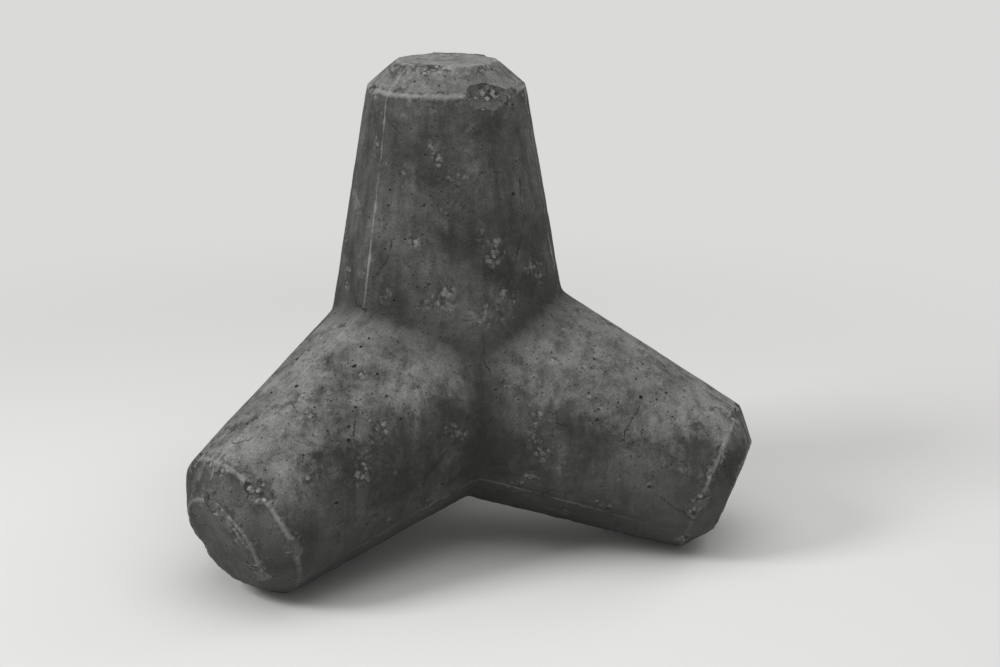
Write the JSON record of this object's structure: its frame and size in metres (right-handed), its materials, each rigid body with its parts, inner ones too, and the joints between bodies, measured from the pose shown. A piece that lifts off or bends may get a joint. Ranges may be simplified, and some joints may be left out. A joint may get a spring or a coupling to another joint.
{
  "type": "concrete tetrapod",
  "caption": "Precast concrete armour block for breakwaters, with tapered legs that point to the corners of a tetrahedron and end in chamfered flat discs.",
  "frame": {"origin": "the point where the axes of the legs meet, which is the centre of mass", "axes": "+Z along the upright leg, +X over the lower leg that points to the front, floor below the origin where the block stands"},
  "size_m": [1.7499, 1.9252, 1.6371],
  "materials": {
    "concrete": "weathered cast concrete, dark and damp towards the ground, with casting seams and air holes"
  },
  "bodies": {
    "root": {"tetrapod": "concrete"}
  },
  "joints": []
}
